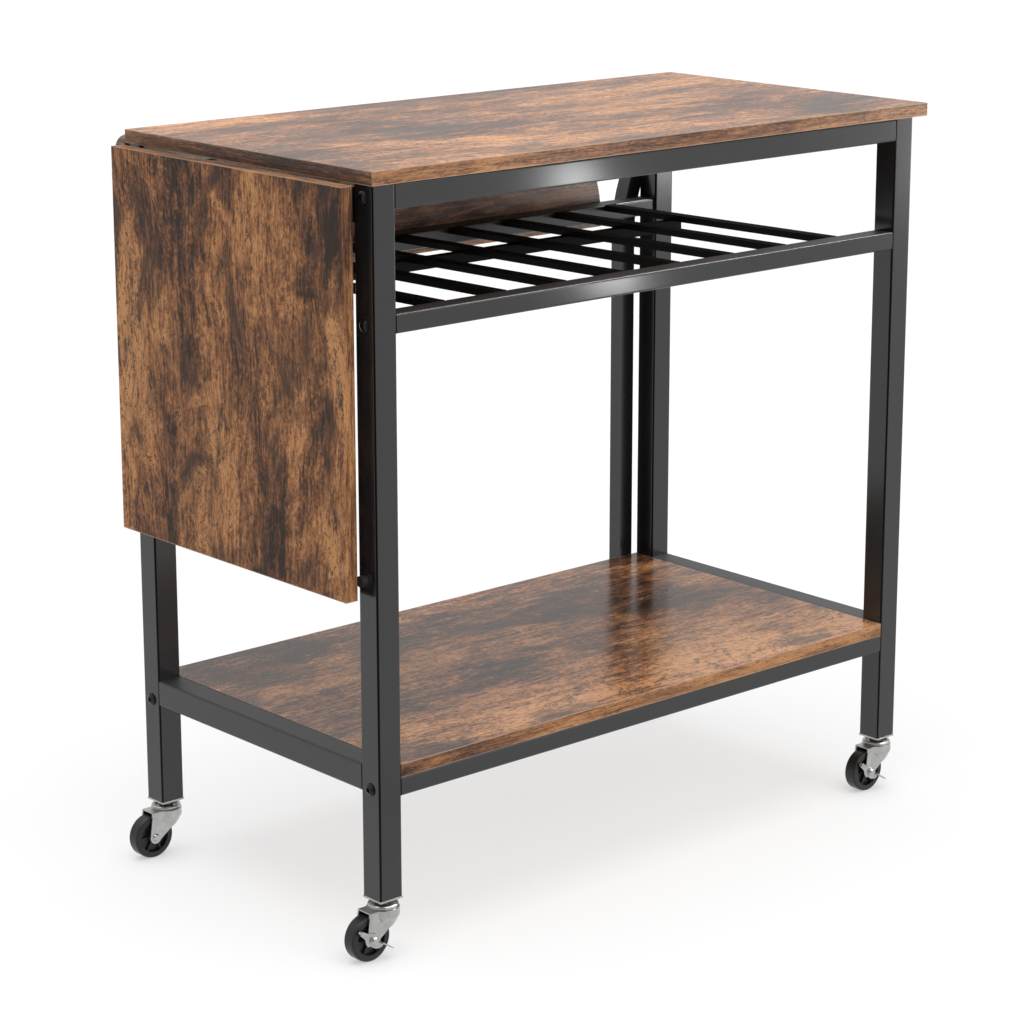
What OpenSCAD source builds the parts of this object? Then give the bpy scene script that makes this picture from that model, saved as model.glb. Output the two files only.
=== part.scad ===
// Rolling table with a hanging end leaf, a slatted rack and a lower shelf. Millimetres, +Z up.
// Its long side lies along X, and its middle is at the origin.
// The leaf hangs at the -X end, the back of the table is at +Y, the floor is z = 0.

/* [Top and leaf] */
// Height of the tabletop's upper face
top_z = 900; // [850:1:950]
// Length of the tabletop along X
top_len = 894; // [800:1:1000]
// Thickness of the tabletop
top_th = 16; // [12:0.5:25]
// Tabletop past the front legs
front_over = 2; // [0:0.5:20]
// Tabletop past the left legs, at the leaf's end
left_over = 2; // [0:0.5:10]
// Tabletop past the right legs
right_over = 24; // [10:1:60]
// Length of the leaf, from the hinges to its free edge
leaf_len = 460; // [300:1:500]
// Thickness of the leaf
leaf_th = 16; // [12:0.5:25]
// Leaf's front edge behind the tabletop's front edge
leaf_in_front = 22; // [5:1:60]
// Leaf's back edge in front of the tabletop's back edge
leaf_in_back = 8; // [5:1:60]
// Gap between the tabletop's end and the hanging leaf
leaf_gap = 9.2; // [8.8:0.1:12]
// Hanging leaf's upper edge below the tabletop's upper face
leaf_drop = 16.6; // [16.4:0.1:18]

/* [Frame] */
// Side of the square leg tubes
leg = 32; // [25:0.5:40]
// Wall of all tubes
wall = 1.5; // [1:0.1:3]
// Outer corner radius of the tubes
tube_r = 2.5; // [1:0.1:4]
// Width of the frame over the legs, along Y
frame_w = 458; // [400:1:600]
// Underside of the legs above the floor
leg_z = 71.2; // [70:0.1:90]
// Depth of the long rails along Y
rail_d = 28; // [20:1:32]
// Height of the long rails
rail_h = 22; // [18:1:30]
// Height of the aprons under the tabletop
apron_h = 28; // [20:1:40]
// Height of the end rails
end_h = 32; // [20:1:40]
// Left end rail's top below the tabletop's underside, the way of the support bars
end_drop = 11.5; // [10.5:0.5:20]

/* [Rack and shelf] */
// Upper face of the rack's front rail
rack_z = 742; // [650:1:780]
// How much lower the rack's back rail lies
rack_fall = 7; // [0:1:30]
// Number of slats
slats = 8; // [4:1:12]
// Width of a slat
slat_w = 18; // [12:1:30]
// Height of a slat
slat_h = 8; // [6:1:15]
// Side of the bar under the slats
bar_sq = 14; // [10:0.5:20]
// Upper face of the lower shelf
shelf_z = 228.7; // [200:0.1:400]
// Thickness of the lower shelf
shelf_th = 16; // [12:0.5:25]

/* [Back] */
// Thickness of the back board
back_th = 16; // [12:0.5:25]
// Upper edge of the back board
back_top = 891.5; // [850:0.5:899]
// Lower edge of the back board
back_low = 701; // [690:1:760]
// Back board past the left legs
back_left = 5.3; // [0:0.1:8]
// Back board's right end before the right leg
back_right = 72; // [50:1:300]
// Radius of the back board's small corner
back_r1 = 15.5; // [5:0.5:40]
// Radius of the back board's large corner
back_r2 = 181; // [60:1:185]
// Side of the bent stay tube
stay = 22; // [16:1:26]
// Bend radius of the stay
stay_r = 200; // [120:1:260]
// Height where the stay's bend begins
stay_z = 685; // [600:1:700]

/* [Leaf fittings] */
// Length of a hinge along Y
hinge_len = 52; // [40:1:80]
// Distance of each hinge from the middle
hinge_y = 146; // [100:1:170]
// Radius of the hinge barrel
barrel_r = 3.2; // [2.8:0.1:3.3]
// Distance of the hinge axis from the leaf's face
hinge_off = 3.9; // [3.6:0.1:4.1]
// Width of a support bar
bar_w = 20; // [15:1:30]
// Thickness of a support bar
bar_th = 5; // [3:0.5:5]
// Length of a support bar
bar_len = 240; // [200:1:260]
// Distance of each support bar from the middle
bar_y = 78; // [50:1:100]

/* [Fasteners] */
// Shank radius of the frame and stay bolts
bolt_r = 3; // [2.5:0.5:4]
// Head radius of the frame and stay bolts
bolt_head = 7.6; // [6:0.1:8.5]
// Head height of the frame and stay bolts
bolt_h = 4.2; // [2.5:0.1:5]
// Shank radius of the screws that hold the boards
screw_r = 2.2; // [1.5:0.1:3]
// Head radius of the screws that hold the boards
screw_head = 4.4; // [4:0.1:6]
// Depth of the screws in the boards
screw_in = 11; // [8:1:13]
// Length of the solid blocks in the ends of the long rails
plug = 14; // [12:1:25]
// Thickness of the hinge leaves
hinge_th = 2; // [1.5:0.1:2.5]
// Radius of the hinge pins
pin_r = 1.5; // [1.2:0.1:1.6]
// Height of the hinge leaves below the barrel
hinge_low = 28; // [20:1:32]
// Bumpers above the leaf's lower edge
bump_up = 22.7; // [15:0.1:60]
// Radius of the bumpers' feet
bump_r = 8.5; // [7:0.1:9]
// Running clearance of pins and bores
run = 0.1; // [0.05:0.01:0.1]

/* [Casters] */
// Radius of a wheel
wheel_r = 27; // [24:0.5:27.5]
// Width of a wheel's tread
wheel_w = 17; // [14:0.5:20]
// Distance of the axle from the swivel axis
trail = 24; // [15:0.5:30]
// Radius of the swivel ring
ring_r = 18; // [16:0.5:19]
// Radius of the kingpins
king_r = 4; // [3:0.5:5]
// Radius of the axles
axle_r = 3; // [2:0.5:4]
// Reach of a brake lever's blade from its axle
lever_len = 27.6; // [24:0.1:28]

/* [Hidden] */
back_reach = stay + bolt_head * 0.6;
yf = (front_over - frame_w - back_reach) / 2;
yb = yf + frame_w;
yc = (yf + yb) / 2;
x0 = (trail + wheel_r - left_over - leg / 2 - top_len) / 2;
x1 = x0 + top_len;
xl = x0 + left_over;
xr = x1 - right_over;
xil = xl + leg;
xir = xr - leg;
under = top_z - top_th;
low_top = shelf_z - shelf_th;
end_top = under - end_drop;
cav = leg - 2 * wall;
axis_x = x0 + hinge_off - leaf_gap;
axis_z = top_z - leaf_th - hinge_off;
leaf_x = x0 - leaf_gap;
leaf_top = top_z - leaf_drop;
bump_z = leaf_top - leaf_len + bump_up;
leaf_y0 = yf - front_over + leaf_in_front;
leaf_y1 = yb - leaf_in_back;
leg_x = [xl + leg / 2, xr - leg / 2];
leg_y = [yf + leg / 2, yb - leg / 2];
apron_bz = under - apron_h / 2;
rack_bz = [rack_z - rail_h / 2, rack_z - rack_fall - rail_h / 2];
low_bz = low_top - rail_h / 2;
screw_x = [xl + 0.16 * (xr - xl), xr - 0.16 * (xr - xl)];
slat_gap = (xir - xil - slats * slat_w) / (slats + 1);
bar_top = leaf_top - 16.3;
guide_h = 14;
guide_z = [bar_top - 3 - guide_h, bar_top - 0.47 * bar_len];
back_end = xir - back_right;
stay_x = xir - 9 - stay / 2;
stay_a = 35;
stay_bx = stay_x + stay_r * (1 - cos(31));
stay_bz = stay_z + stay_r * sin(31);
board_len = back_end - xl;
board_up = [xl + 0.17 * board_len, xl + 0.5 * board_len, back_end - back_r2 + 20];
board_low = [xl + 0.17 * board_len, xl + 0.55 * board_len, xl + 0.91 * board_len];
hinge_sy = [-hinge_len / 3, hinge_len / 3];
hinge_z = end_top - hinge_low / 2;
kn = hinge_len / 5;
bar_x = leaf_x + 0.3;
axle_z = wheel_r;
fork_top = 2 * wheel_r + 4.9;
fork_r = ring_r + 1;
cheek_in = wheel_w / 2 + 0.8;
cheek_out = cheek_in + 2.2;
lever_in = cheek_out + 0.2;
lever_k = lever_len / 27.6;
$fn = 64;

// Which part to draw

BLACK = [0.09, 0.09, 0.09];
WOOD = [0.42, 0.25, 0.14];
ZINC = [0.72, 0.72, 0.72];
RUBBER = [0.05, 0.05, 0.05];

module box(a, b) { translate(a) cube([b[0] - a[0], b[1] - a[1], b[2] - a[2]]); }
// cylinders along each axis, from a point, with a signed length
module rod(r, l) { translate([0, 0, min(l, 0)]) cylinder(r = r, h = abs(l)); }
module cyl_x(x, y, z, r, l) { translate([x, y, z]) rotate([0, 90, 0]) rod(r, l); }
module cyl_y(x, y, z, r, l) { translate([x, y, z]) rotate([-90, 0, 0]) rod(r, l); }
module cyl_z(x, y, z, r, l) { translate([x, y, z]) rod(r, l); }

// rounded rectangle, centred
module rounded(w, h, r) {
  square([w, h - 2 * r], center = true);
  square([w - 2 * r, h], center = true);
  for (a = [-1, 1], b = [-1, 1]) translate([a * (w / 2 - r), b * (h / 2 - r)]) circle(r = r);
}
// one leg: an open square tube with clearance for three frame bolts
module leg_tube(ix, iy) {
  x = leg_x[ix];
  y = leg_y[iy];
  difference() {
    translate([x, y, leg_z]) linear_extrude(height = under - leg_z) rounded(leg, leg, tube_r);
    box([x - cav / 2, y - cav / 2, leg_z - 1], [x + cav / 2, y + cav / 2, under + 1]);
    for (z = [apron_bz, rack_bz[iy], low_bz]) cyl_x(x - leg / 2 - 1, y, z, bolt_r, leg + 2);
    if (ix == 0) cyl_x(x - leg / 2 - 1, y, bump_z, bolt_r, 5);
    if (ix == 1 && iy == 1) cyl_y(stay_bx, y, stay_bz, bolt_r, leg / 2 + 1);
  }
}
module leg_front_left() color(BLACK) leg_tube(0, 0);
module leg_front_right() color(BLACK) leg_tube(1, 0);
module leg_back_left() color(BLACK) leg_tube(0, 1);
module leg_back_right() color(BLACK) leg_tube(1, 1);

// end rails run along Y between two legs
module end_rail(x, z1) {
  difference() {
    translate([x + leg / 2, yb - leg, z1 - end_h / 2]) rotate([90, 0, 0])
      linear_extrude(height = frame_w - 2 * leg) rounded(leg, end_h, tube_r);
    box([x + wall, yf + leg - 1, z1 - end_h + wall], [x + leg - wall, yb - leg + 1, z1 - wall]);
  }
}
module end_rail_top_left() color(BLACK) difference() {
  end_rail(xl, end_top);
  for (s = [-1, 1]) hinge_holes(xl - 1, yc + s * hinge_y, screw_r - 0.3, 4);
}
module end_rail_top_right() color(BLACK) end_rail(xir, under);
module end_rail_low_left() color(BLACK) end_rail(xl, shelf_z);
module end_rail_low_right() color(BLACK) end_rail(xir, shelf_z);

// long rails run along X between two legs, with solid end blocks for the bolts
module long_rail(y, z0, h, by, bz) {
  difference() {
    translate([xil, y + rail_d / 2, z0 + h / 2]) rotate([90, 0, 90])
      linear_extrude(height = xir - xil) rounded(rail_d, h, tube_r);
    box([xil + plug, y + wall, z0 + wall], [xir - plug, y + rail_d - wall, z0 + h - wall]);
    cyl_x(xil - 1, by, bz, bolt_r, plug - 1);
    cyl_x(xir + 1, by, bz, bolt_r, 1 - plug);
  }
}
module apron_front() color(BLACK) difference() {
  long_rail(yf, under - apron_h, apron_h, leg_y[0], apron_bz);
  for (x = screw_x) cyl_z(x, yf + rail_d / 2, under - apron_h - 1, screw_r, apron_h + 2);
}
module apron_back() color(BLACK) difference() {
  long_rail(yb - rail_d, under - apron_h, apron_h, leg_y[1], apron_bz);
  for (x = screw_x) cyl_z(x, yb - rail_d / 2, under - apron_h - 1, screw_r, apron_h + 2);
  for (x = board_up) cyl_y(x, yb - 6, apron_bz, screw_r, 7);
}
module rack_rail_front() color(BLACK) long_rail(yf, rack_z - rail_h, rail_h, leg_y[0], rack_bz[0]);
module rack_rail_back() color(BLACK) difference() {
  long_rail(yb - rail_d, rack_z - rack_fall - rail_h, rail_h, leg_y[1], rack_bz[1]);
  for (x = board_low) cyl_y(x, yb - 6, rack_bz[1], screw_r, 7);
}
module low_rail_front() color(BLACK) difference() {
  long_rail(yf, low_top - rail_h, rail_h, leg_y[0], low_bz);
  for (x = screw_x) cyl_z(x, yf + rail_d / 2, low_top - rail_h - 1, screw_r, rail_h + 2);
}
module low_rail_back() color(BLACK) difference() {
  long_rail(yb - rail_d, low_top - rail_h, rail_h, leg_y[1], low_bz);
  for (x = screw_x) cyl_z(x, yb - rail_d / 2, low_top - rail_h - 1, screw_r, rail_h + 2);
  cyl_y(stay_x, yb - 6, low_bz, bolt_r, 7);
}

// outline in the YZ plane, extruded along X
module along_x(x, l, pts)
  translate([x, 0, 0]) rotate([90, 0, 90]) linear_extrude(height = l) polygon(pts);
function slat_z(y) = rack_z - rack_fall * (y - yf - rail_d) / (frame_w - 2 * rail_d);
module slat(x) {
  ya = yf + rail_d;
  yz = yb - rail_d;
  difference() {
    along_x(x, slat_w, [[ya, slat_z(ya) - slat_h], [yz, slat_z(yz) - slat_h],
      [yz, slat_z(yz)], [ya, slat_z(ya)]]);
    along_x(x + wall, slat_w - 2 * wall,
      [[ya - 1, slat_z(ya - 1) - slat_h + wall], [yz + 1, slat_z(yz + 1) - slat_h + wall],
       [yz + 1, slat_z(yz + 1) - wall], [ya - 1, slat_z(ya - 1) - wall]]);
  }
}
module rack_slats() color(BLACK) for (i = [0 : slats - 1]) slat(xil + slat_gap + i * (slat_w + slat_gap));
module rack_cross_bar() color(BLACK) {
  ya = yb - 0.34 * frame_w;
  za = slat_z(ya) - slat_h;
  zb = slat_z(ya + bar_sq) - slat_h;
  difference() {
    along_x(xil + slat_gap, xir - xil - 2 * slat_gap,
      [[ya, za - bar_sq], [ya + bar_sq, za - bar_sq], [ya + bar_sq, zb], [ya, za]]);
    along_x(xil + slat_gap - 1, xir - xil - 2 * slat_gap + 2,
      [[ya + wall, za - bar_sq + wall], [ya + bar_sq - wall, za - bar_sq + wall],
       [ya + bar_sq - wall, zb - wall], [ya + wall, zb - wall]]);
  }
}

// boards
module tabletop() color(WOOD) difference() {
  box([x0, yf - front_over, under], [x1, yb, top_z]);
  for (x = screw_x, y = [yf + rail_d / 2, yb - rail_d / 2]) cyl_z(x, y, under - 1, screw_r, screw_in + 1);
}
module lower_shelf() color(WOOD) difference() {
  box([xil, yf, low_top], [xir, yb, shelf_z]);
  for (x = screw_x, y = [yf + rail_d / 2, yb - rail_d / 2]) cyl_z(x, y, low_top - 1, screw_r, screw_in + 1);
}
module drop_leaf() color(WOOD) difference() {
  box([leaf_x - leaf_th, leaf_y0, leaf_top - leaf_len], [leaf_x, leaf_y1, leaf_top]);
  for (s = [-1, 1]) hinge_holes(leaf_x + 1, yc + s * hinge_y, screw_r - 0.3, -screw_in - 2);
}
module back_board() color(WOOD) difference() {
  translate([0, yb + back_th, 0]) rotate([90, 0, 0]) linear_extrude(height = back_th) difference() {
    translate([xl - back_left, back_low]) square([back_end - xl + back_left, back_top - back_low]);
    difference() {
      translate([xl - back_left - 1, back_top - back_r1]) square([back_r1 + 1, back_r1 + 1]);
      translate([xl - back_left + back_r1, back_top - back_r1]) circle(r = back_r1);
    }
    difference() {
      translate([back_end - back_r2, back_top - back_r2]) square([back_r2 + 1, back_r2 + 1]);
      translate([back_end - back_r2, back_top - back_r2]) circle(r = back_r2);
    }
  }
  for (x = board_up) cyl_y(x, yb - 1, apron_bz, screw_r, back_th + 2);
  for (x = board_low) cyl_y(x, yb - 1, rack_bz[1], screw_r, back_th + 2);
}

// button-head bolt, a dome of radius r and height h with a hexagon socket, outward along +Z
module button(r, h) {
  c = (r * r + (h * 0.72) * (h * 0.72)) / (2 * h * 0.72);
  difference() {
    rotate_extrude() intersection() {
      translate([0, h - c]) circle(r = c);
      square([r, h]);
    }
    translate([0, 0, h * 0.42]) cylinder(r = r * 0.42, h = h, $fn = 6);
  }
}
module frame_bolt(x, y, z, s) {
  translate([x, y, z]) rotate([0, 90 * s, 0]) {
    button(bolt_head, bolt_h);
    rod(bolt_r, 3 - leg - plug);
  }
}
module frame_bolts_left() color(RUBBER)
  for (iy = [0, 1], z = [apron_bz, rack_bz[iy], low_bz]) frame_bolt(xl, leg_y[iy], z, -1);
module frame_bolts_right() color(RUBBER)
  for (iy = [0, 1], z = [apron_bz, rack_bz[iy], low_bz]) frame_bolt(xr, leg_y[iy], z, 1);
module screw_up(x, y, z, l) {
  translate([x, y, z]) rotate([180, 0, 0]) button(screw_head, screw_head * 0.6);
  cyl_z(x, y, z, screw_r, l);
}
module top_screws() color(RUBBER)
  for (x = screw_x, y = [yf + rail_d / 2, yb - rail_d / 2])
    screw_up(x, y, under - apron_h, apron_h + screw_in);
module shelf_screws() color(RUBBER)
  for (x = screw_x, y = [yf + rail_d / 2, yb - rail_d / 2])
    screw_up(x, y, low_top - rail_h, rail_h + screw_in);
module screw_back(x, y, z, rh, r, l) {
  translate([x, y, z]) rotate([-90, 0, 0]) button(rh, rh * 0.6);
  cyl_y(x, y, z, r, -l);
}
module back_board_screws() color(RUBBER) {
  for (x = board_up) screw_back(x, yb + back_th, apron_bz, screw_head, screw_r, back_th + 6);
  for (x = board_low) screw_back(x, yb + back_th, rack_bz[1], screw_head, screw_r, back_th + 6);
}

// bent square tube behind the right-hand end, drawn in the XZ plane
module stay_outline(s, z0, a) {
  translate([stay_x - s / 2, z0]) square([s, stay_z - z0]);
  translate([stay_x + stay_r, stay_z]) intersection() {
    difference() {
      circle(r = stay_r + s / 2);
      circle(r = stay_r - s / 2);
    }
    polygon([[0, 0], [-1.3 * stay_r, 0], [-1.3 * stay_r, 1.3 * stay_r * tan(a)]]);
  }
}
module stay_form(s, z0, a)
  translate([0, yb + (stay + s) / 2, 0]) rotate([90, 0, 0]) linear_extrude(height = s) stay_outline(s, z0, a);
module rear_stay() color(BLACK) difference() {
  stay_form(stay, low_top - rail_h, stay_a);
  stay_form(stay - 2 * wall, low_top - rail_h - 1, stay_a - 1);
  cyl_y(stay_x, yb - 1, low_bz, bolt_r, stay + 2);
  cyl_y(stay_bx, yb - 1, stay_bz, bolt_r, stay + 2);
}
module stay_bolts() color(RUBBER) {
  screw_back(stay_x, yb + stay, low_bz, bolt_head, bolt_r, stay + 6);
  screw_back(stay_bx, yb + stay, stay_bz, bolt_head, bolt_r, stay + 8);
}

// butt hinges: five knuckles, the first, third and fifth on the frame
function knuckle_y(y, i) = y - hinge_len / 2 + i * kn + 0.1;
module hinge_holes(x, y, r, l) for (d = hinge_sy) cyl_x(x, y + d, hinge_z, r, l);
module hinge_frame_plates() color(BLACK) for (s = [-1, 1]) {
  y = yc + s * hinge_y;
  difference() {
    union() {
      box([xl - hinge_th, y - hinge_len / 2, end_top - hinge_low],
          [xl, y + hinge_len / 2, axis_z - barrel_r - 0.3]);
      for (i = [0, 2, 4]) {
        cyl_y(axis_x, knuckle_y(y, i), axis_z, barrel_r, kn - 0.2);
        box([axis_x + 1, knuckle_y(y, i), axis_z - barrel_r],
            [xl, knuckle_y(y, i) + kn - 0.2, axis_z - 1]);
        box([xl - hinge_th, knuckle_y(y, i), axis_z - barrel_r - 1],
            [xl, knuckle_y(y, i) + kn - 0.2, axis_z - 1]);
      }
    }
    cyl_y(axis_x, y - hinge_len / 2 - 1, axis_z, pin_r, hinge_len + 2);
    hinge_holes(xl - 3, y, screw_r - 0.3, 4);
  }
}
module hinge_leaf_plates() color(BLACK) for (s = [-1, 1]) {
  y = yc + s * hinge_y;
  difference() {
    union() {
      box([leaf_x, y - hinge_len / 2, end_top - hinge_low],
          [leaf_x + hinge_th, y + hinge_len / 2, axis_z - barrel_r - 0.7]);
      for (i = [1, 3]) {
        cyl_y(axis_x, knuckle_y(y, i), axis_z, barrel_r, kn - 0.2);
        box([leaf_x, knuckle_y(y, i), axis_z - barrel_r - 1],
            [leaf_x + hinge_off - 1, knuckle_y(y, i) + kn - 0.2, axis_z]);
      }
    }
    cyl_y(axis_x, y - hinge_len / 2 - 1, axis_z, pin_r + run, hinge_len + 2);
    hinge_holes(leaf_x - 1, y, screw_r - 0.3, 4);
  }
}
module hinge_pins() color(BLACK) for (s = [-1, 1])
  cyl_y(axis_x, yc + s * hinge_y - hinge_len / 2, axis_z, pin_r, hinge_len);
module hinge_frame_screws() color(BLACK) for (s = [-1, 1]) {
  hinge_holes(xl - hinge_th, yc + s * hinge_y, screw_r - 0.3, hinge_th + 2.5);
  hinge_holes(xl - hinge_th, yc + s * hinge_y, screw_head - 0.8, -1.2);
}
module hinge_leaf_screws() color(BLACK) for (s = [-1, 1]) {
  hinge_holes(leaf_x + hinge_th, yc + s * hinge_y, screw_r - 0.3, -hinge_th - screw_in - 1);
  hinge_holes(leaf_x + hinge_th, yc + s * hinge_y, screw_head - 0.8, 1.2);
}

// sliding support bars on the leaf's inner face, held in two staples each
module support_bar(y) {
  box([bar_x, y - bar_w / 2, bar_top - bar_len], [bar_x + bar_th, y + bar_w / 2, bar_top]);
  box([bar_x + bar_th - 1, y - bar_w / 2, guide_z[0] + guide_h],
      [bar_x + bar_th + 3, y + bar_w / 2, bar_top]);
  cyl_x(bar_x + bar_th - 1, y, bar_top - bar_len + 10, 5, 9);
}
module support_bar_front() color(ZINC) support_bar(yc - bar_y);
module support_bar_back() color(ZINC) support_bar(yc + bar_y);
module bar_guides() color(BLACK) for (s = [-1, 1], z = guide_z) {
  y = yc + s * bar_y;
  a = bar_w / 2 + 0.4;
  difference() {
    box([leaf_x, y - a - 10, z], [bar_x + bar_th + 2.3, y + a + 10, z + guide_h]);
    box([leaf_x - 1, y - a, z - 1], [bar_x + bar_th + 0.3, y + a, z + guide_h + 1]);
    box([leaf_x + 2, y - a - 11, z - 1], [leaf_x + 4 * bar_th, y - a - 2, z + guide_h + 1]);
    box([leaf_x + 2, y + a + 2, z - 1], [leaf_x + 4 * bar_th, y + a + 11, z + guide_h + 1]);
  }
}
module leaf_bumpers() color(RUBBER) for (y = leg_y) {
  cyl_x(xl, y, bump_z, bump_r, -0.25 * (xl - leaf_x));
  cyl_x(xl, y, bump_z, 0.76 * bump_r, leaf_x - xl);
  cyl_x(xl, y, bump_z, bolt_r, plug / 3.5);
}

// casters
module caster_plates() color(ZINC) for (x = leg_x, y = leg_y) difference() {
  union() {
    box([x - leg / 2, y - leg / 2, leg_z - 2.2], [x + leg / 2, y + leg / 2, leg_z]);
    cyl_z(x, y, fork_top + 1.6, ring_r / 2, leg_z - fork_top - 2.5);
  }
  cyl_z(x, y, fork_top, king_r + run, leg_z - fork_top + 1);
}
// side outline of the fork: from the top plate down to a rounded tab round the axle
module fork_side() {
  polygon([[-trail - 3.5, fork_top], [fork_r + 1, fork_top], [fork_r + 1, fork_top - 9],
    [-trail + 6.9, axle_z - 4], [-trail - 8, axle_z - 1], [-trail - 7.5, axle_z + 4]]);
  translate([-trail, axle_z]) circle(r = 8);
}
// two flat cheeks, w from the middle, that run into a half-round front of radius r at the top
module fork_form(w, r, back, z0, z1) {
  rotate_extrude() polygon([[0, z0], [w, z0], [w, fork_top - 24], [r, fork_top - 9], [r, z1], [0, z1]]);
  box([-back, -w, z0], [0, w, z1]);
}
module fork(x, y) translate([x, y, 0]) {
  difference() {
    intersection() {
      translate([0, fork_r + 1, 0]) rotate([90, 0, 0])
        linear_extrude(height = 2 * fork_r + 2) fork_side();
      fork_form(cheek_out, fork_r, trail + 9, 1, fork_top);
    }
    fork_form(cheek_in, fork_r - 2.2, trail + 12, 0, fork_top - 1.2);
    cyl_y(-trail, -cheek_out - 1, axle_z, axle_r, 2 * cheek_out + 2);
  }
  rotate_extrude() polygon([[0, fork_top], [ring_r - 0.6, fork_top], [ring_r - 1.6, fork_top + 0.6],
    [ring_r - 1.6, fork_top + 1.2], [ring_r - 0.4, fork_top + 1.8], [ring_r, fork_top + 2.8],
    [ring_r - 0.3, fork_top + 4], [ring_r - 1.3, fork_top + 4.8], [ring_r - 2.6, fork_top + 5],
    [ring_r - 4, fork_top + 4.6], [ring_r - 4.4, fork_top + 1.5], [king_r, fork_top + 1.5],
    [king_r, leg_z + 0.2], [king_r + 2.5, leg_z + 0.2], [king_r + 2.5, leg_z + 1.6],
    [king_r + 1, leg_z + 2.4], [0, leg_z + 2.4]]);
}
module fork_front_left() color(ZINC) fork(leg_x[0], leg_y[0]);
module fork_front_right() color(ZINC) fork(leg_x[1], leg_y[0]);
module fork_back_left() color(ZINC) fork(leg_x[0], leg_y[1]);
module fork_back_right() color(ZINC) fork(leg_x[1], leg_y[1]);

// axle bolt: domed head at -Y past the cheek or the brake lever, hexagon nut at +Y
module axle(x, y, out) translate([x - trail, y, axle_z]) rotate([90, 0, 0]) {
  translate([0, 0, -cheek_out - 3]) cylinder(r = axle_r, h = 2 * cheek_out + 4 + out - cheek_out - 1);
  translate([0, 0, out]) cylinder(r1 = 5, r2 = 3.4, h = 2.4);
  translate([0, 0, -cheek_out - 3.6]) cylinder(r = 5.4, h = 3.6, $fn = 6);
}
module axle_front_left() color(ZINC) axle(leg_x[0], leg_y[0], lever_in + 3.3);
module axle_front_right() color(ZINC) axle(leg_x[1], leg_y[0], lever_in + 3.3);
module axle_back_left() color(ZINC) axle(leg_x[0], leg_y[1], cheek_out);
module axle_back_right() color(ZINC) axle(leg_x[1], leg_y[1], cheek_out);

// wheel: smooth tread, a rim on each side, a thin web with spokes, and a hub
module wheel(x, y) translate([x - trail, y, axle_z]) rotate([90, 0, 0]) {
  h = wheel_w / 2;
  rotate_extrude() polygon([[axle_r + run, -h - 0.5], [7.4, -h - 0.5], [8, -h + 0.2],
    [8.6, -3.4], [18.2, -3.4],
    [19.4, -h], [wheel_r - 2, -h], [wheel_r - 0.6, -h + 0.7], [wheel_r, -h + 2.4], [wheel_r, h - 2.4],
    [wheel_r - 0.6, h - 0.7], [wheel_r - 2, h], [19.4, h], [18.2, 3.4], [8.6, 3.4], [8, h - 0.2],
    [7.4, h + 0.5], [axle_r + run, h + 0.5]]);
  for (a = [0 : 60 : 300], s = [-1, 1]) rotate([0, 0, a])
    translate([8, -1.2, s > 0 ? 3 : 2 - h]) cube([11, 2.4, h - 5]);
}
module wheel_front_left() color(RUBBER) wheel(leg_x[0], leg_y[0]);
module wheel_front_right() color(RUBBER) wheel(leg_x[1], leg_y[0]);
module wheel_back_left() color(RUBBER) wheel(leg_x[0], leg_y[1]);
module wheel_back_right() color(RUBBER) wheel(leg_x[1], leg_y[1]);

// brake lever: a stamped rocker on the axle, outside the front cheek, with a flange along one arm
// and a flat blade as the other
module lever(x, y) translate([x - trail, y - lever_in, axle_z]) rotate([90, 0, 0]) rotate([0, 0, -30]) {
  linear_extrude(height = 2) difference() {
    union() {
      circle(r = 8 * lever_k);
      polygon(lever_k * [[-24.5, 0.4], [-22, -0.6], [-14, -2.6], [-9, -7.6], [-5, -9.4], [-2.6, -7.4], [5, -8],
        [11.5, -6.4], [14.5, -3], [15.5, 0.8], [9, 2], [7, 5], [0, 8], [-7, 6], [-13, 3.2], [-24, 3.2]]);
    }
    circle(r = axle_r + run);
  }
  linear_extrude(height = 4.6) polygon(lever_k * [[-24.5, 0.4], [-25.6, 1.2], [-25.6, 3.6], [-24, 4.8],
    [-13, 4.8], [-8.6, 6.6], [-8, 5.2], [-12.6, 3.2], [-23.6, 3]]);
  linear_extrude(height = 7) polygon(lever_k * [[9, 0], [26, -0.8], [27.6, -0.2], [27.6, 0.6], [9, 1.8]]);
  translate([0, 0, 1.9]) linear_extrude(height = 1.2) difference() {
    circle(r = 6.6);
    circle(r = axle_r + run);
  }
}
module brake_lever_left() color(ZINC) lever(leg_x[0], leg_y[0]);
module brake_lever_right() color(ZINC) lever(leg_x[1], leg_y[0]);

tabletop();
drop_leaf();
lower_shelf();
back_board();
leg_front_left();
leg_front_right();
leg_back_left();
leg_back_right();
end_rail_top_left();
end_rail_top_right();
end_rail_low_left();
end_rail_low_right();
apron_front();
apron_back();
rack_rail_front();
rack_rail_back();
low_rail_front();
low_rail_back();
rack_slats();
rack_cross_bar();
frame_bolts_left();
frame_bolts_right();
top_screws();
shelf_screws();
back_board_screws();
rear_stay();
stay_bolts();
hinge_frame_plates();
hinge_leaf_plates();
hinge_pins();
hinge_frame_screws();
hinge_leaf_screws();
support_bar_front();
support_bar_back();
bar_guides();
leaf_bumpers();
caster_plates();
fork_front_left();
fork_front_right();
fork_back_left();
fork_back_right();
axle_front_left();
axle_front_right();
axle_back_left();
axle_back_right();
wheel_front_left();
wheel_front_right();
wheel_back_left();
wheel_back_right();
brake_lever_left();
brake_lever_right();
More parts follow.
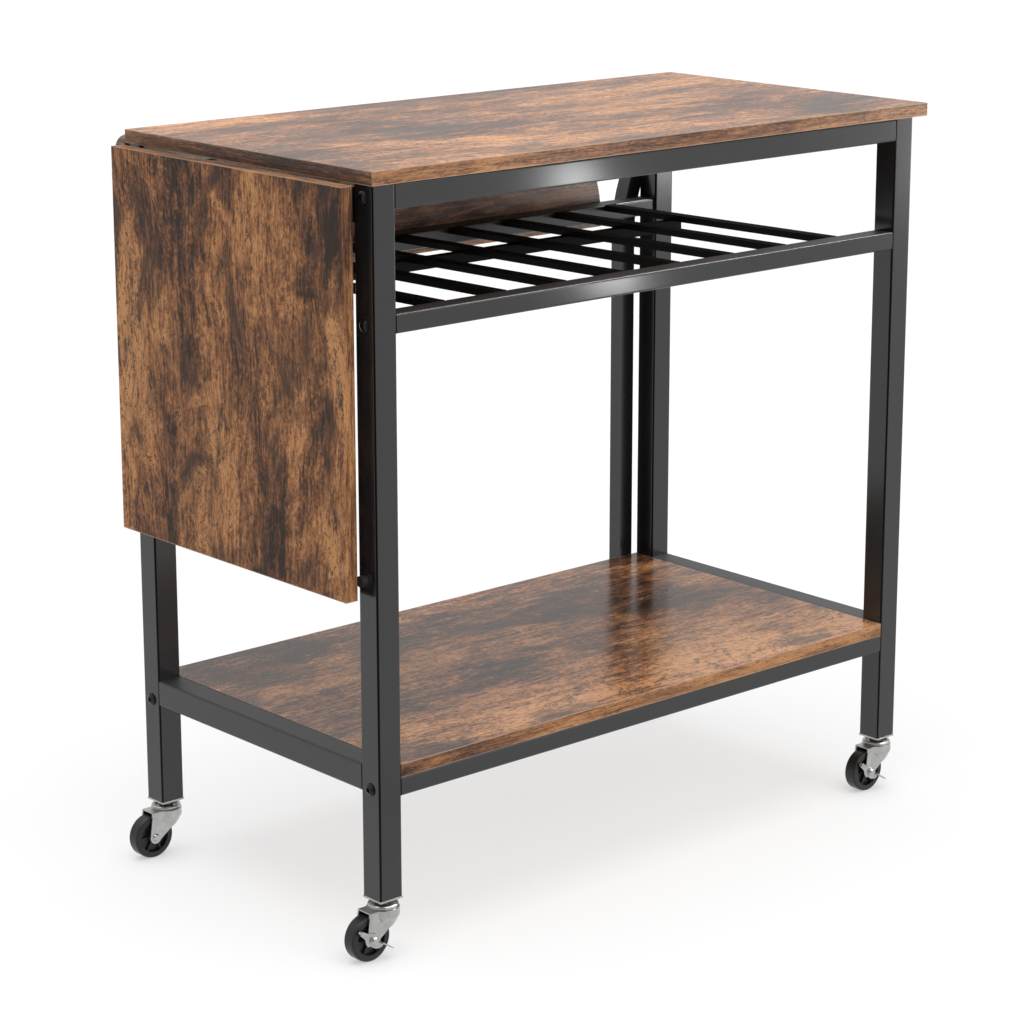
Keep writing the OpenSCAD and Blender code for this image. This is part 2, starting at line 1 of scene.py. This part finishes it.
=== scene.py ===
import math
import bpy
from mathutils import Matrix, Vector


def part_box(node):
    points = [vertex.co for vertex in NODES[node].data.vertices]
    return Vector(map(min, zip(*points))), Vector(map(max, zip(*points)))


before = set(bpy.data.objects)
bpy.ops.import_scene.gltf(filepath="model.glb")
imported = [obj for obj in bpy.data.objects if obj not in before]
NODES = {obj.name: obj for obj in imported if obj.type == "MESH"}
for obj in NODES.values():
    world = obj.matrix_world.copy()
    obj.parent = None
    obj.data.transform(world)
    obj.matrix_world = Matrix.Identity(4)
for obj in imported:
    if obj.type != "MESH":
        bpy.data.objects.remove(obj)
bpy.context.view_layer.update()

# Materials, studio and camera of the folding table. Every visible piece is a CAD node, as it was packed.

SCENE = bpy.context.scene
SCENE.view_settings.view_transform = "Standard"
WHITE = (1.0, 1.0, 1.0)


class Tree:
    """Short calls for building a node tree. Most take sockets or plain values, and return a socket."""

    def __init__(self, tree):
        self.t = tree

    def new(self, kind, **props):
        n = self.t.nodes.new(kind)
        for k, v in props.items():
            setattr(n, k, v)
        return n

    def put(self, sock, v):
        if hasattr(v, "is_output"):
            self.t.links.new(v, sock)
        elif v is not None:
            sock.default_value = v

    def math(self, op, a, b=None, c=None):
        n = self.new("ShaderNodeMath", operation=op)
        for s, v in zip(n.inputs, (a, b, c)):
            self.put(s, v)
        return n.outputs[0]

    def vmath(self, op, a, b=None, out="Vector"):
        n = self.new("ShaderNodeVectorMath", operation=op)
        self.put(n.inputs[0], a)
        self.put(n.inputs[1], b)
        return n.outputs[out]

    def sep(self, v):
        n = self.new("ShaderNodeSeparateXYZ")
        self.put(n.inputs[0], v)
        return n.outputs[0], n.outputs[1], n.outputs[2]

    def comb(self, x, y, z):
        n = self.new("ShaderNodeCombineXYZ")
        for s, v in zip(n.inputs, (x, y, z)):
            self.put(s, v)
        return n.outputs[0]

    def noise(self, vec, scale=1.0, detail=3.0, rough=0.5, dist=0.0, out="Fac"):
        n = self.new("ShaderNodeTexNoise")
        self.put(n.inputs["Vector"], vec)
        n.inputs["Scale"].default_value = scale
        n.inputs["Detail"].default_value = detail
        n.inputs["Roughness"].default_value = rough
        n.inputs["Distortion"].default_value = dist
        return n.outputs[out]

    def step(self, v, lo, hi, a=0.0, b=1.0, kind="SMOOTHSTEP"):
        """Goes from a to b as v goes from lo to hi."""
        n = self.new("ShaderNodeMapRange", interpolation_type=kind)
        for s, x in zip(n.inputs, (v, lo, hi, a, b)):
            self.put(s, x)
        return n.outputs[0]

    def blend(self, f, a, b, kind="FLOAT"):
        n = self.new("ShaderNodeMix", data_type=kind)
        first, result = {"FLOAT": (2, 0), "VECTOR": (4, 1), "RGBA": (6, 2)}[kind]
        self.put(n.inputs[0], f)
        for s, v in ((n.inputs[first], a), (n.inputs[first + 1], b)):
            self.put(s, (*v, 1.0) if kind == "RGBA" and isinstance(v, tuple) else v)
        return n.outputs[result]

    def mix(self, f, a, b):
        return self.blend(f, a, b, "RGBA")

    def ramp(self, f, stops):
        n = self.new("ShaderNodeValToRGB")
        e = n.color_ramp.elements
        while len(e) < len(stops):
            e.new(0.5)
        for k, (p, c) in zip(e, stops):
            k.position = p
            k.color = (*c, 1.0)
        self.put(n.inputs[0], f)
        return n.outputs[0]

    def bump(self, h, strength, dist, normal):
        n = self.new("ShaderNodeBump")
        n.inputs["Strength"].default_value = strength
        n.inputs["Distance"].default_value = dist
        self.put(n.inputs["Height"], h)
        self.put(n.inputs["Normal"], normal)
        return n.outputs[0]

    def bevel(self, r):
        n = self.new("ShaderNodeBevel", samples=4)
        n.inputs["Radius"].default_value = r
        return n.outputs[0]


class Mat(Tree):
    """A material with one Principled shader."""

    def __init__(self, name):
        self.m = bpy.data.materials.new(name)
        self.m.use_nodes = True
        super().__init__(self.m.node_tree)
        self.b = self.t.nodes["Principled BSDF"]
        coords = self.new("ShaderNodeTexCoord").outputs
        self.point, self.normal = coords["Object"], coords["Normal"]

    def fix(self, socket, value):
        """Sets a value that is the same all over."""
        self.b.inputs[socket].default_value = value

    def out(self, **kw):
        for k, v in kw.items():
            self.put(self.b.inputs[k.replace("_", " ")], v)
        return self.m


def scaled(color, factor):
    return tuple(c * factor for c in color)


# Laminate. Its print is a rustic brown: honey patches and clouds on umber, charcoal smears, streaks and
# fibres along the grain, fine grit, and small dark cracks that gather in the light patches.
UMBER_TO_HONEY = [
    (0.08, (0.031, 0.018, 0.013)),
    (0.30, (0.092, 0.042, 0.023)),
    (0.50, (0.192, 0.083, 0.038)),
    (0.70, (0.350, 0.154, 0.063)),
    (0.95, (0.520, 0.255, 0.108)),
]
CHARCOAL = (0.024, 0.022, 0.021)
CRACK = (0.022, 0.012, 0.008)
PORE = (0.040, 0.020, 0.013)
# the pale edge line is a painted highlight along the boards' level edges; its colour, cover and width
# follow
EDGE_HIGHLIGHT = (0.60, 0.42, 0.31)
SMEAR_COVER, CRACK_COVER, PORE_COVER, EDGE_HIGHLIGHT_COVER = 0.82, 0.72, 0.45, 0.55
EDGE_HIGHLIGHT_WIDTH = 0.0009
# the edge bands: how much denser their lines are, and their tone, shift and smears
BAND_DENSITY, BAND_TONE, BAND_SHIFT, BAND_SMEAR_COVER = 4.0, 1.05, 0.08, 0.25
# how the grain wanders, at board scale and at knot scale: the noise's scale, and its reach in metres
WANDER = [((3.0, 7.0, 7.0), (0.10, 0.06, 0.06)), ((26.0, 40.0, 40.0), (0.014, 0.009, 0.009))]


def wood(name, grain, box, seed, tone, rough, level, shift, stretch=1.0, calm=1.0, lean=0.0):
    """grain is the axis of the grain, and seed picks the print's place. level is the specular level. tone
    and shift lighten the print, stretch enlarges it, calm scales the patches' contrast, and lean lightens
    the print with x."""
    g = Mat(name)
    x, y, z = g.sep(g.point)
    nx, _, nz = g.sep(g.normal)
    along, deep, end, flat = (x, z, nx, nz) if grain == "x" else (z, x, nz, nx)
    # the edge bands run their grain along the edge; the back board's faces count as bands too
    turned = g.math("GREATER_THAN", g.math("ABSOLUTE", end), 0.5)
    band = g.math("LESS_THAN", g.math("ABSOLUTE", flat), 0.5)
    deep = g.math("MULTIPLY", deep, BAND_DENSITY)
    place = g.blend(turned, g.comb(along, y, deep), g.comb(y, along, deep), "VECTOR")
    place = g.vmath("ADD", place, (seed * 3.17, seed * 1.31, seed * 0.73))
    v = place
    for scale, reach in WANDER:
        cloud = g.noise(g.vmath("MULTIPLY", place, scale), detail=2.0, out="Color")
        centred = g.vmath("SUBTRACT", cloud, (0.5, 0.5, 0.5))
        v = g.vmath("ADD", v, g.vmath("MULTIPLY", centred, reach))

    def layer(along_scale, across_scale, detail, roughness, offset, distortion):
        """Noise round 0, with one scale along the grain and another across it."""
        su, sv = along_scale / stretch, across_scale / stretch
        w = g.vmath("ADD", g.vmath("MULTIPLY", v, (su, sv, sv)), (offset, offset * 0.7, offset * 0.3))
        return g.math("SUBTRACT", g.noise(w, 1.0, detail, roughness, distortion), 0.5)

    patches = layer(3.4, 8.0, 2.0, 0.45, 0.0, 0.6)
    clouds = layer(15.0, 23.0, 3.0, 0.50, 5.3, 1.0)
    streaks = layer(9.0, 95.0, 3.0, 0.62, 9.1, 0.2)
    fibres = layer(24.0, 280.0, 2.0, 0.60, 2.7, 0.1)
    grit = layer(150.0, 260.0, 3.0, 0.70, 14.9, 0.5)
    smears = layer(7.0, 17.0, 5.0, 0.62, 12.4, 0.6)
    specks = layer(75.0, 120.0, 3.0, 0.62, 3.9, 1.6)
    veins = layer(22.0, 42.0, 4.0, 0.60, 21.0, 1.2)

    t = g.math("MULTIPLY_ADD", x, lean, g.math("MULTIPLY_ADD", band, BAND_SHIFT, 0.5 + shift))
    weights = [(patches, 2.1 * calm), (clouds, 1.25 * calm), (streaks, 0.85), (fibres, 1.10), (grit, 1.40)]
    for part, weight in weights:
        t = g.math("MULTIPLY_ADD", part, weight, t)
    tint = g.blend(band, tone, BAND_TONE)
    col = g.vmath("MULTIPLY", g.ramp(t, UMBER_TO_HONEY), g.comb(tint, tint, tint))
    # charcoal smears
    smear = g.math("MULTIPLY_ADD", grit, 0.40, g.math("MULTIPLY_ADD", streaks, 0.30, smears))
    cover = g.blend(band, SMEAR_COVER * calm, BAND_SMEAR_COVER)
    col = g.mix(g.math("MULTIPLY", g.step(smear, 0.05, 0.16), cover), col, CHARCOAL)
    # cracks: thin wandering veins, broken into dashes, and specks; most of them lie in the light patches
    where = g.step(g.math("MULTIPLY_ADD", clouds, 0.8, patches), -0.10, 0.08, 0.30, calm)
    line = g.step(g.math("ABSOLUTE", veins), 0.010, 0.024, 1.0, 0.0)
    dashes = g.math("MULTIPLY", line, g.step(specks, -0.04, 0.02))
    crack = g.math("MULTIPLY", g.math("MAXIMUM", g.step(specks, 0.11, 0.17), dashes), where)
    col = g.mix(g.math("MULTIPLY", crack, CRACK_COVER), col, CRACK)
    # pores, short dark lines along the grain
    col = g.mix(g.step(fibres, 0.10, 0.20, 0.0, PORE_COVER), col, PORE)
    # a painted highlight: a thin pale line along the level edges
    near = []
    for axis, c in enumerate((x, y, z)):
        low, high = box[0][axis], box[1][axis]
        gap = g.math("MINIMUM", g.math("SUBTRACT", c, low), g.math("SUBTRACT", high, c))
        near.append(g.math("LESS_THAN", gap, EDGE_HIGHLIGHT_WIDTH))
    edge = g.math("MULTIPLY", g.math("MAXIMUM", near[0], near[1]), near[2])
    col = g.mix(g.math("MULTIPLY", edge, EDGE_HIGHLIGHT_COVER), col, EDGE_HIGHLIGHT)

    height = g.math("MULTIPLY_ADD", crack, -0.5, fibres)
    g.fix("Specular IOR Level", level)
    return g.out(Base_Color=col, Roughness=g.math("MULTIPLY_ADD", clouds, 0.20, rough),
                 Normal=g.bump(height, 0.12, 0.0006, g.bevel(0.0008)))


# Black powder coat, satin with a fine orange peel
PEEL = 0.012
# painted shade on the tubes' rounded upright corners: its near-black colour, and the tint that dims their
# reflection
PAINTED_CORNER_SHADE, CORNER_SHADE_TINT = (0.002, 0.002, 0.002), (0.05, 0.05, 0.05)
DUST = 0.34


def coat(name, base, rough, level=0.64, corner_shade=0.0):
    """level is the specular level; the last argument says how dark the painted shade on the tubes' rounded
    upright corners runs.
    """
    g = Mat(name)
    nx, ny, nz = g.sep(g.normal)
    broad = g.noise(g.point, 9.0, 3.0, 0.55)
    speck = g.noise(g.point, 2600.0, 1.0, 0.5)
    mottle = g.math("MULTIPLY_ADD", broad, 0.7, g.math("MULTIPLY", speck, 0.3))
    col = g.mix(mottle, scaled(base, 0.80), scaled(base, 1.25))
    # painted shade: the rounded upright corners are painted near black, and their reflection is dimmed
    if corner_shade:
        k = g.step(g.math("ABSOLUTE", g.math("MULTIPLY", nx, ny)), 0.16, 0.40, 0.0, corner_shade)
        col = g.mix(k, col, PAINTED_CORNER_SHADE)
        g.out(Specular_Tint=g.mix(k, WHITE, CORNER_SHADE_TINT))
    # faces that look up hold a little dust, which dulls them
    dust = g.step(nz, 0.5, 0.9, 0.0, DUST)
    satin = g.math("MULTIPLY_ADD", broad, 0.06, rough - 0.03)
    peel = g.noise(g.point, 500.0, 2.0, 0.5)
    g.fix("Specular IOR Level", level)
    return g.out(Base_Color=col, Roughness=g.math("ADD", satin, dust),
                 Normal=g.bump(peel, PEEL, 0.0003, g.bevel(0.0005)))


# Bright zinc plate, with brushed lines and a faint spangle
ZINC, ZINC_ROUGH = (0.50, 0.50, 0.49), 0.30


def zinc(name):
    g = Mat(name)
    brushed = g.noise(g.vmath("MULTIPLY", g.point, (300.0, 300.0, 2600.0)), 1.0, 2.0, 0.6)
    spangle = g.step(g.noise(g.point, 95.0, 3.0, 0.6), 0.35, 0.7)
    g.fix("Metallic", 1.0)
    return g.out(Base_Color=g.mix(spangle, scaled(ZINC, 0.85), ZINC),
                 Roughness=g.math("MULTIPLY_ADD", brushed, 0.14, ZINC_ROUGH - 0.05),
                 Normal=g.bump(brushed, 0.06, 0.0003, g.bevel(0.0005)))


# Black moulded plastic, and rubber
def plastic(name, base, rough, grain, grain_scale):
    g = Mat(name)
    cloud = g.noise(g.point, 60.0, 3.0, 0.6)
    pebble = g.noise(g.point, grain_scale, 2.0, 0.6)
    g.fix("Specular IOR Level", 0.4)
    return g.out(Base_Color=g.mix(cloud, scaled(base, 0.7), scaled(base, 1.5)),
                 Roughness=g.math("MULTIPLY_ADD", cloud, 0.16, rough - 0.08),
                 Normal=g.bump(pebble, grain, 0.0003, g.bevel(0.0006)))


def paint(material, *starts):
    """Gives the material to every node whose name begins with one of the words."""
    for n in NODES:
        if n.startswith(starts):
            slots = NODES[n].data.materials
            slots.clear()
            slots.append(material)


paint(wood("laminate_top", "x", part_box("tabletop"), seed=1.0, tone=1.80, rough=0.34, level=0.33,
           shift=0.02, stretch=1.3, calm=0.78), "tabletop")
paint(wood("laminate_leaf", "z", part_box("drop_leaf"), seed=4.0, tone=1.15, rough=0.46, level=0.16,
           shift=0.10), "drop_leaf")
paint(wood("laminate_shelf", "x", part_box("lower_shelf"), seed=7.0, tone=1.70, rough=0.20, level=0.22,
           shift=0.02, stretch=1.3, calm=0.86, lean=0.25), "lower_shelf")
paint(wood("laminate_back", "x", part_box("back_board"), seed=11.0, tone=0.55, rough=0.26, level=0.60,
           shift=-0.04, stretch=1.3, calm=0.7, lean=-0.5), "back_board")
paint(coat("powder_coat", (0.012, 0.012, 0.0125), 0.18, corner_shade=0.9), "leg_", "end_rail_low",
      "end_rail_top_right", "apron", "rack_rail", "low_rail", "rear_stay", "bar_guides")
paint(coat("slat_coat", (0.006, 0.006, 0.006), 0.45, level=0.06),
      "rack_slats", "rack_cross_bar", "end_rail_top_left")
paint(coat("hinge_coat", (0.012, 0.012, 0.012), 0.30), "hinge_")
paint(coat("black_oxide", (0.006, 0.006, 0.006), 0.26, level=0.35),
      "frame_bolts", "top_screws", "shelf_screws", "back_board_screws", "stay_bolts")
paint(zinc("zinc_plate"), "fork_", "axle_", "caster_plates", "brake_lever", "support_bar")
paint(plastic("wheel_plastic", (0.009, 0.009, 0.009), rough=0.38, grain=0.12, grain_scale=1400.0), "wheel_")
paint(plastic("bumper_rubber", (0.008, 0.008, 0.008), rough=0.6, grain=0.2, grain_scale=900.0),
      "leaf_bumpers")


# The studio: a pale floor, an even sky, two broad suns and four lamps for glare
DARK_SIDE = (-0.665, -0.747, 0.0)
FLAG_EDGE, FLAG_GLOW = (0.70, 0.86), 0.25
FLOOR_HALF = 40.0
FLOOR_COLOR, FLOOR_GLEAM = 0.80, 0.92
# what the camera sees of the floor: a diffuse share that takes shadow, a glow, and what the open floor adds
# to the glow, less near contact as a painted contact shadow
SHADOW_SHARE, GLOW, OPEN_GLOW = 0.36, 0.42, 0.26
# how far the painted contact shadow on the floor reaches
CONTACT_SHADE_REACH = 0.05


def dark_side(g, vec):
    """1 all round, low in a sector behind the photographer, where the studio has a black flag."""
    x, y, _ = g.sep(vec)
    facing = g.vmath("DOT_PRODUCT", g.vmath("NORMALIZE", g.comb(x, y, 0.0)), DARK_SIDE, "Value")
    return g.step(facing, *FLAG_EDGE, 1.0, FLAG_GLOW)


def link_object(name, data):
    o = bpy.data.objects.new(name, data)
    SCENE.collection.objects.link(o)
    return o


def floor_material():
    m = bpy.data.materials.new("floor")
    m.use_nodes = True
    g = Tree(m.node_tree)
    g.t.nodes.clear()
    path = g.new("ShaderNodeLightPath").outputs
    point = g.new("ShaderNodeTexCoord").outputs["Object"]

    def join(kind, *values):
        n = g.new(kind)
        for s, v in zip(n.inputs, values):
            g.put(s, v)
        return n.outputs[0]

    def diffuse(grey):
        return join("ShaderNodeBsdfDiffuse", (grey, grey, grey, 1.0))

    def glow(strength):
        return join("ShaderNodeEmission", (*WHITE, 1.0), strength)

    # seen directly, the floor is white with a soft shadow, and a painted contact shadow dims its glow where
    # something touches it;
    # in glossy surfaces it is white with the flag
    contact_shade = g.new("ShaderNodeAmbientOcclusion", samples=8)
    contact_shade.inputs["Distance"].default_value = CONTACT_SHADE_REACH
    glow_with_contact_shade = g.math("MULTIPLY_ADD", contact_shade.outputs["AO"], OPEN_GLOW, GLOW)
    seen = join("ShaderNodeAddShader", diffuse(SHADOW_SHARE), glow(glow_with_contact_shade))
    x, y, _ = g.sep(point)
    away = g.step(g.vmath("LENGTH", g.comb(x, y, 0.0), out="Value"), 0.5, 1.6, kind="LINEAR")
    gleam = g.math("MULTIPLY", g.blend(away, 1.0, dark_side(g, point)), FLOOR_GLEAM)
    direct = g.math("MAXIMUM", path["Is Camera Ray"], path["Is Transmission Ray"])
    plain = join("ShaderNodeMixShader", direct, diffuse(FLOOR_COLOR), seen)
    both = join("ShaderNodeMixShader", path["Is Glossy Ray"], plain, glow(gleam))
    g.put(g.new("ShaderNodeOutputMaterial").inputs[0], both)
    return m


def stage_floor():
    h = FLOOR_HALF
    me = bpy.data.meshes.new("floor")
    me.from_pydata([(-h, -h, 0), (h, -h, 0), (h, h, 0), (-h, h, 0)], [], [(0, 1, 2, 3)])
    me.materials.append(floor_material())
    link_object("floor", me)


def stage_world():
    w = bpy.data.worlds.new("studio")
    SCENE.world = w
    w.use_nodes = True
    g = Tree(w.node_tree)
    path = g.new("ShaderNodeLightPath").outputs
    way = g.new("ShaderNodeTexCoord").outputs["Generated"]
    height = g.sep(way)[2]
    sky = g.math("MULTIPLY", g.step(height, 0.05, 0.55, 0.70, 1.0, "LINEAR"), dark_side(g, way))
    direct = g.math("MAXIMUM", path["Is Camera Ray"], path["Is Transmission Ray"])
    even = g.blend(direct, 0.45, 1.0)
    ground = g.t.nodes["Background"]
    ground.inputs["Color"].default_value = (*WHITE, 1.0)
    g.put(ground.inputs["Strength"], g.blend(path["Is Glossy Ray"], even, sky))


def aim(o, toward):
    o.rotation_euler = Vector(toward).to_track_quat("-Z", "Y").to_euler()


def sun(name, strength, angle, toward):
    d = bpy.data.lights.new(name, "SUN")
    d.energy = strength
    d.angle = math.radians(angle)
    aim(link_object(name, d), toward)


def glare(name, at, target, size, radiance):
    """A lamp that only glossy surfaces show; size is its width and height in metres."""
    d = bpy.data.lights.new(name, "AREA")
    d.shape = "RECTANGLE"
    d.size, d.size_y = size
    d.energy = radiance * math.pi * size[0] * size[1]
    o = link_object(name, d)
    o.location = at
    aim(o, Vector(target) - Vector(at))
    o.visible_camera = o.visible_diffuse = o.visible_transmission = o.visible_volume_scatter = False


stage_floor()
stage_world()
sun("overhead", 1.5, 50.0, (0.12, 0.10, -1.0))
sun("front_fill", 0.8, 60.0, (-0.25, 1.0, -0.45))
APRON_MIDDLE = (-0.05, -0.241, 0.86)
RACK_MIDDLE = (-0.05, -0.241, 0.755)
BACK_LEG = (0.42, 0.20, 0.85)
glare("apron_glare", (0.232, -0.641, 0.775), APRON_MIDDLE, (0.05, 0.06), 15.0)
glare("rack_glare", (0.300, -0.641, 0.650), RACK_MIDDLE, (0.06, 0.06), 13.0)
glare("leg_glare", (1.548, -0.957, 0.72), BACK_LEG, (0.16, 0.35), 14.0)
glare("edge_glare", (1.9, -0.35, 2.7), APRON_MIDDLE, (1.0, 1.0), 30.0)

# The camera, fitted to the photograph
YAW = math.radians(41.70)
PITCH = math.radians(13.92)
CAMERA_PLACE = (-2.376, -2.667, 1.354)
FOCAL_PX, FRAME_PX = 2951.0, 1024.0
SHIFT_PX = (-10.5, -51.0)
SENSOR_MM = 36.0
cam = bpy.data.cameras.new("camera")
camera = link_object("camera", cam)
camera.location = CAMERA_PLACE
aim(camera, (math.sin(YAW) * math.cos(PITCH), math.cos(YAW) * math.cos(PITCH), -math.sin(PITCH)))
cam.sensor_width = SENSOR_MM
cam.lens = SENSOR_MM * FOCAL_PX / FRAME_PX
cam.shift_x = SHIFT_PX[0] / FRAME_PX
cam.shift_y = SHIFT_PX[1] / FRAME_PX
cam.clip_end = 200.0
SCENE.camera = camera
